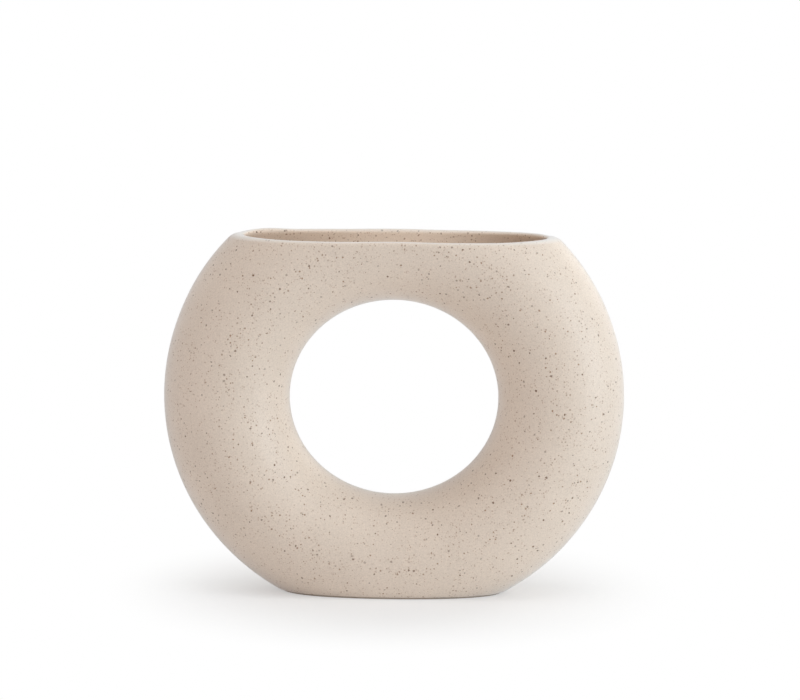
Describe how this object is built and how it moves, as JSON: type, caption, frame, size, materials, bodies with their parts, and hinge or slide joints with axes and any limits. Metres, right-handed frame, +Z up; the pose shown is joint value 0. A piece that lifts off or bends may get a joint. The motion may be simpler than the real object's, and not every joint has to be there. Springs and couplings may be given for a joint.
{
  "type": "donut vase",
  "caption": "Upright ring-shaped stoneware vase in speckled matt glaze, with a round hole through it, a long open mouth cut across the top and a flat base to stand on.",
  "frame": {"origin": "centre of the base, on the surface that the vase stands on", "axes": "+Z up, +X along the ring's width to the right, -Y towards the viewer through the hole"},
  "size_m": [0.25, 0.068, 0.1947],
  "materials": {
    "bisque": "bare fired stoneware, dry and slightly sandy",
    "slip": "fired joining slip, sponged smooth",
    "speckled_glaze": "matt beige glaze with brown iron specks",
    "liner_glaze": "satin beige liner glaze with brown iron specks"
  },
  "bodies": {
    "root": {"front_half_shell": "bisque", "back_half_shell": "bisque", "outer_seam_slip": "slip", "hole_seam_slip": "slip", "outer_glaze": "speckled_glaze", "liner_glaze": "liner_glaze"}
  },
  "joints": []
}
